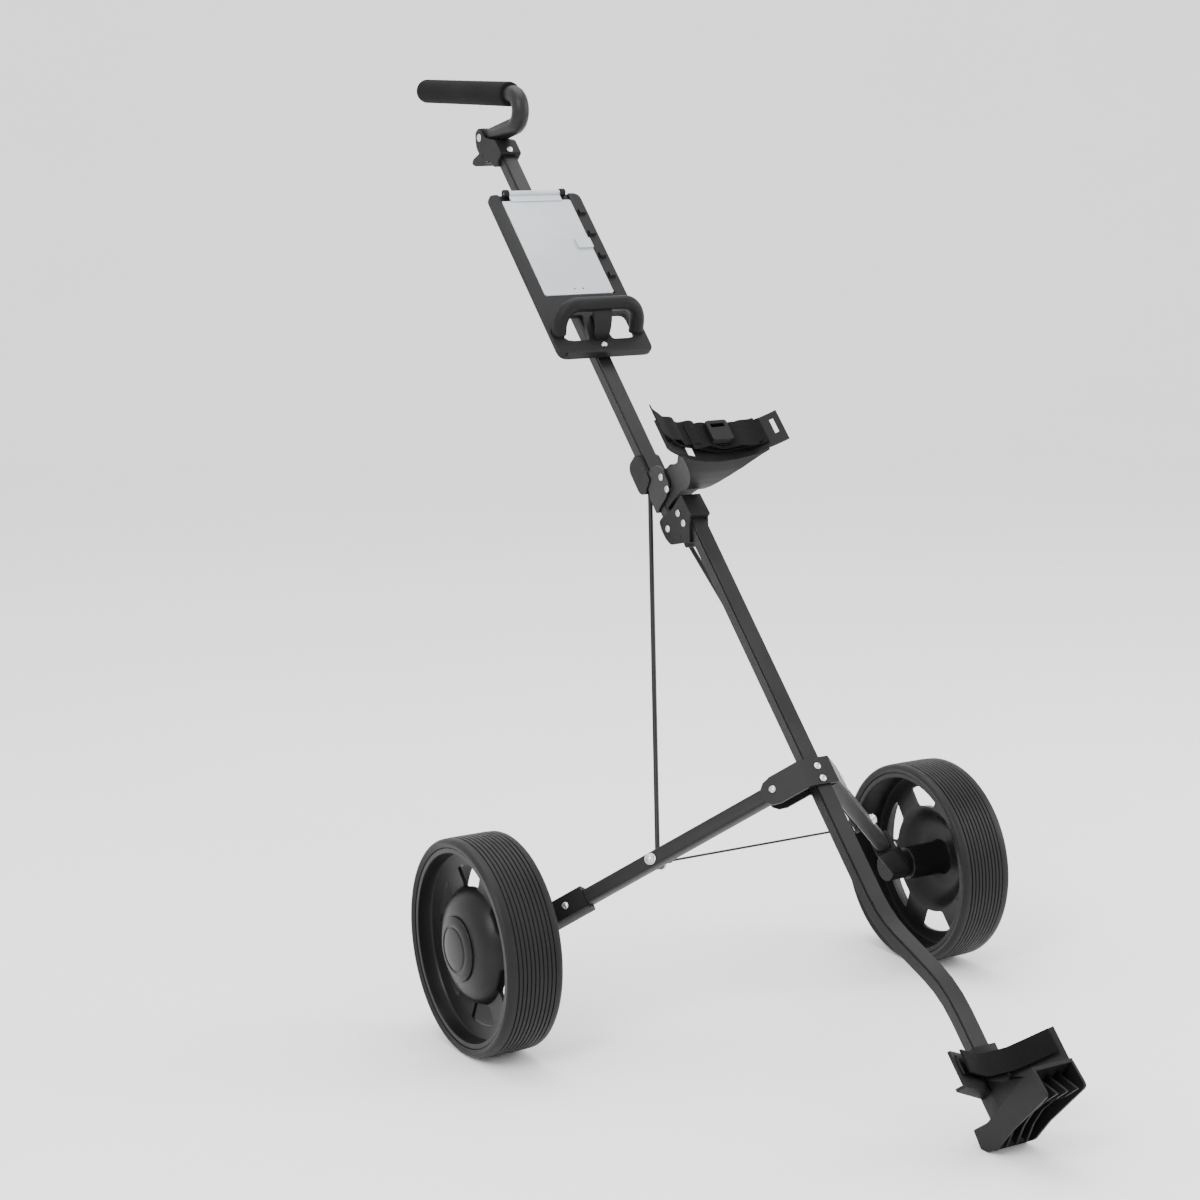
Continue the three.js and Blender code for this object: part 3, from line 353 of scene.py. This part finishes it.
def window(centre, hand, middle):
    """One of the six openings in the wheel's face, as a block to take away."""
    inner, outer, half, steps = 64.5, 90, radians(18.5), 8
    loop = []
    for reach, spread in ((outer, half), (inner + 1, -0.78 * half)):
        for i in range(steps + 1):
            angle = middle + spread * (2 * i / steps - 1)
            trim = 1.5 if i in (0, steps) else 0
            radius = reach - trim if reach == outer else reach + trim
            loop.append((radius * cos(angle), radius * sin(angle)))
    n = len(loop)
    verts = []
    for x in (-5, 45):
        verts += [centre + Vector((hand * x, y, z)) * MM for y, z in loop]
    faces = [list(range(n))[::-1], list(range(n, 2 * n))]
    faces += [[i, (i + 1) % n, n + (i + 1) % n, n + i] for i in range(n)]
    return verts, faces


def taken_away(piece, cutter):
    """Cuts one mesh from another and keeps the result."""
    step = piece.modifiers.new("cut", "BOOLEAN")
    step.object = cutter
    step.solver = "EXACT"
    bpy.context.view_layer.update()
    result = bpy.data.meshes.new_from_object(piece.evaluated_get(bpy.context.evaluated_depsgraph_get()))
    piece.modifiers.clear()
    piece.data = result
    bpy.data.objects.remove(cutter)
    result.polygons.foreach_set("use_smooth", [True] * len(result.polygons))
    result.set_sharp_from_angle(angle=radians(35))


def recalculated(piece):
    """Turns every face outwards."""
    work = bmesh.new()
    work.from_mesh(piece.data)
    bmesh.ops.recalc_face_normals(work, faces=work.faces)
    work.to_mesh(piece.data)
    work.free()


for side, hand in HANDS.items():
    centre = Vector((hand * WHEEL_X, ORIGIN_Y, WHEEL_Z)) * MM
    outward = Vector((hand, 0, 0))
    body = side + "_wheel"
    made = lathe(side + "_tyre_ribbed", tyre_profile, centre, outward, 160, 28)
    finish_piece(made, body, "tyre", side + "_tyre")
    disk = lathe(side + "_rim_moulded", rim_profile, centre, outward, 144)
    recalculated(disk)
    verts, faces = [], []
    for i in range(6):
        more, sides = window(centre, hand, radians(142 - 60 * i))
        faces += [[len(verts) + p for p in face] for face in sides]
        verts += more
    cutter = solid("windows", verts, faces)
    recalculated(cutter)
    taken_away(disk, cutter)
    soft = disk.modifiers.new("soft_edges", "BEVEL")
    soft.width, soft.segments, soft.limit_method = 0.0009, 2, "ANGLE"
    soft.angle_limit = radians(38)
    finish_piece(disk, body, "rim", side + "_rim")
    cap = lathe(side + "_hub_cap_turned", cap_profile, centre, outward, 72, 30)
    finish_piece(cap, body, "rim", side + "_hub_cap")
    axle = [
        (0, 248), (5.2, 248), (6, 248.8), (6, 269), (10, 269.2), (10, 271.8), (6, 272), (6, 336.2),
        (5.2, 337.2), (0, 337.2),
    ]
    made = lathe(side + "_axle_turned", axle, Vector((0, ORIGIN_Y, WHEEL_Z)) * MM, outward, 40)
    finish_piece(made, BODY_OF[side + "_axle"], "zinc", side + "_axle")

# ---- Handle: drawn about its pivot ----
pivot = shaft(0, *HANDLE_PIVOT)
RUN, BEND, RISE, GRIP_RISE, GRIP_RUN = 72, 20, 10.2, 3.1, 252


def heading(angle):
    return Vector((0, cos(radians(angle)), sin(radians(angle))))


first_heading = 180 - RISE
bend_start = heading(first_heading) * RUN
bend_centre = bend_start + heading(first_heading - 90) * BEND
turn_steps = 40
hook = [heading(first_heading) * t for t in (0, 20, 40, 60)]
for i in range(turn_steps + 1):
    angle = first_heading + 90 - (first_heading - GRIP_RISE) * i / turn_steps
    hook.append(bend_centre + heading(angle) * BEND)
grip_start = hook[-1].copy()
hook.append(grip_start + heading(GRIP_RISE) * (GRIP_RUN - 3))
hook = [pivot + p * MM for p in hook]
tube = sweep("hook_tube", hook, 11, 36)
knuckle_profile = [(0, -11), (10.5, -11), (12, -9.8), (12, 9.8), (10.5, 11), (0, 11)]
knuckle = lathe("knuckle", knuckle_profile, pivot, Vector((1, 0, 0)), 48)
finish_piece(joined("handle_hook_bent", [tube, knuckle]), "handle", "steel", "handle_hook")
length = GRIP_RUN - 8.5
foam = [(11.3, 0), (14.3, 0), (15.1, 0.6), (15.5, 2)]
for i in range(1, 25):
    waist = 0.25 * (1 - cos(2 * pi * i / 24)) / 2 * (i % 2)
    foam.append((15.5 - waist, 2 + (length - 8) * i / 24))
foam += [(15.5, length - 5), (14.8, length - 2), (13.2, length - 0.5), (11.3, length), (11.3, 0)]
grip_at = pivot + (grip_start + heading(GRIP_RISE) * 8) * MM
finish_piece(lathe("handle_grip_foam", foam, grip_at, heading(GRIP_RISE), 64), "handle", "foam", "handle_grip")
crosswise("handle_pin", 14.85, *HANDLE_PIVOT, head=5)

# ---- Push rods and spreader cable ----
for side, hand in HANDS.items():
    bolt = leg(hand, LEG_BOLT_AT, 11.8)
    top = shaft(hand * 6, 29, 151)
    along = (top - bolt).normalized()
    rod = sweep("rod", [bolt + along * t * MM for t in (6.4, 8)] + [top], 2.8, 20)
    eye_axis = leg(hand, 0, 1) - leg(hand, 0, 0)
    eye = [(3.4, -2.4), (6.2, -2.4), (6.9, -1.6), (6.9, 1.6), (6.2, 2.4), (3.4, 2.4), (3.4, -2.4)]
    ring = lathe("eye", eye, bolt, eye_axis, 32)
    finish_piece(joined(side + "_push_rod_round", [rod]), side + "_push_rod", "steel", side + "_push_rod")
    finish_piece(joined(side + "_rod_eye", [ring]), side + "_leg", "steel")
    start, end = leg(hand, LEG_BOLT_AT - 5, 16.9), leg(hand, LEG_BOLT_AT - 5, 16.9)
    end.x = hand * 0.2 * MM
    along = (end - start).normalized()
    u, v = across(along)
    strands = []
    reach = (end - start).length
    for k in range(3):
        path = []
        for i in range(121):
            angle = 2 * pi * (k / 3 + reach / MM / 9 * i / 120)
            path.append(start + along * reach * i / 120 + (u * cos(angle) + v * sin(angle)) * 0.7 * MM)
        strands.append(sweep("strand", path, 0.75, 8))
    ferrule_profile = [(0, 0.5), (2.3, 0.5), (2.6, 1), (2.6, 10), (2.3, 10.5), (0, 10.5)]
    strands.append(lathe("ferrule", ferrule_profile, start, along, 24))
    lug = [(3.2, -1.6), (4.9, -1.6), (5.2, -1.2), (5.2, 1.2), (4.9, 1.6), (3.2, 1.6), (3.2, -1.6)]
    strands.append(lathe("lug", lug, leg(hand, LEG_BOLT_AT, 16.9), eye_axis, 28))
    made = joined(side + "_spreader_cable_laid", strands)
    finish_piece(made, side + "_cable", "cable", side + "_spreader_cable")

# ---- Ball bar: a round skin over the console's faceted one ----
BAR_HALF, BAR_OUT, BAR_Z, FOOT_Z, CONSOLE_FRONT, CORNER = 54, -35, 391, 372, -3, 22


def bar_corner(side, angle):
    across_by = BAR_HALF - CORNER * (1 - sin(angle))
    depth = CORNER * (1 - cos(angle))
    share = depth / (CONSOLE_FRONT - BAR_OUT)
    return shaft(side * across_by, BAR_OUT + depth, BAR_Z + (FOOT_Z - BAR_Z) * share)


angles = [pi / 2 * i / 12 for i in range(13)]
bar = [shaft(-BAR_HALF, CONSOLE_FRONT - 1.5, FOOT_Z)] + [bar_corner(-1, a) for a in reversed(angles)]
bar += [bar_corner(1, a) for a in angles] + [shaft(BAR_HALF, CONSOLE_FRONT - 1.5, FOOT_Z)]
finish_piece(sweep("ball_bar_round", bar, 9.1, 32), "upper_frame", "plastic")

# ---- Webbing ----
ARC_Y, ARC = -236, 122
up_shaft = (shaft(0, 0, 1) - shaft(0, 0, 0)).normalized()


def round_bag(angle, radius, z):
    return shaft(radius * sin(angle), ARC_Y + radius * cos(angle), z)


def fold(begin, finish_at, radius, waves, lift, z, half_wide):
    """One layer of the folded strap along the inside of the arm."""
    count = 90
    path = []
    for i in range(count + 1):
        t = i / count
        ripple = lift * (0.5 - 0.5 * cos(2 * pi * waves * t)) * sin(pi * t) ** 0.5
        path.append(round_bag(radians(begin + (finish_at - begin) * t), radius - ripple, z + 2.5 * sin(5 * t)))
    return sweep("layer", path, 0, squash=(up_shaft, 0.8, half_wide))


layers = [
    fold(-56, 30, 119.6, 3, 3.5, 114, 17),
    fold(-40, 27, 117.4, 4, 7.0, 116, 16.5),
    fold(-20, 24, 113.6, 2, 6.0, 112, 17),
]
finish_piece(joined("cradle_strap_folded", layers), BODY_OF["cradle_strap"], "webbing", "cradle_strap")

# ---- Room and light ----
AZIMUTH = radians(-29.67)
PAPER = 0.93
paper = surface("paper", grey(PAPER - 0.015), grey(PAPER), (0.8, 0.9), grain=60, depth=0.02, blotch=2)
floor_mesh = bpy.data.meshes.new("floor")
BACK, REACH, CURVE, WALL = 5.0, 14.0, 3.0, 8.0
profile = [(-REACH, 0.0), (BACK, 0.0)]
bends = [pi / 2 * i / 12 for i in range(1, 13)]
profile += [(BACK + CURVE * sin(a), CURVE * (1 - cos(a))) for a in bends]
profile += [(BACK + CURVE, WALL)]
verts = [(x, y, z - 0.0002) for y, z in profile for x in (-REACH, REACH)]
strips = [[2 * i, 2 * i + 1, 2 * i + 3, 2 * i + 2] for i in range(len(profile) - 1)]
floor_mesh.from_pydata(verts, [], strips)
floor_mesh.polygons.foreach_set("use_smooth", [True] * len(floor_mesh.polygons))
floor = bpy.data.objects.new("floor", floor_mesh)
floor_mesh.materials.append(paper)
floor.rotation_euler.z = AZIMUTH
bpy.context.scene.collection.objects.link(floor)

world = bpy.data.worlds.new("studio")
bpy.context.scene.world = world
world.use_nodes = True
world.node_tree.nodes["Background"].inputs["Color"].default_value = (1, 1, 1, 1)
world.node_tree.nodes["Background"].inputs["Strength"].default_value = 1.7


def softbox(name, place, size, power):
    """A soft light, aimed at the middle of the trolley."""
    light = bpy.data.lights.new(name, "AREA")
    light.shape, light.size, light.size_y, light.energy = "RECTANGLE", size[0], size[1], power
    made = bpy.data.objects.new(name, light)
    made.location = place
    aim = Vector((0, 0, 0.45)) - Vector(place)
    made.rotation_euler = aim.to_track_quat("-Z", "Y").to_euler()
    bpy.context.scene.collection.objects.link(made)
    return made


boxes = [
    softbox("key", (-2.4, -1.6, 2.6), (1.2, 1.6), 75),
    softbox("side", (2.6, -1.4, 1.6), (0.7, 1.8), 45),
    softbox("top", (0.2, 0.4, 3.2), (2.2, 2.2), 60),
]

# ---- Camera ----
DOWN, ROLL = radians(9.90), radians(-1.22)
forward = Vector((-sin(AZIMUTH) * cos(DOWN), cos(AZIMUTH) * cos(DOWN), -sin(DOWN)))
right = forward.cross(Vector((0, 0, 1))).normalized()
upward = right.cross(forward)
rolled_right = right * cos(ROLL) + upward * sin(ROLL)
rolled_up = upward * cos(ROLL) - right * sin(ROLL)
lens = bpy.data.cameras.new("camera")
lens.sensor_width, lens.lens = 36, 74.0
lens.shift_x, lens.shift_y = -0.0024, 0.006
camera = bpy.data.objects.new("camera", lens)
pose = Matrix((rolled_right, rolled_up, -forward)).transposed().to_4x4()
pose.translation = Vector((-1489.1, -2401.25, 959.3)) * MM
camera.matrix_world = pose
bpy.context.scene.collection.objects.link(camera)
bpy.context.scene.camera = camera
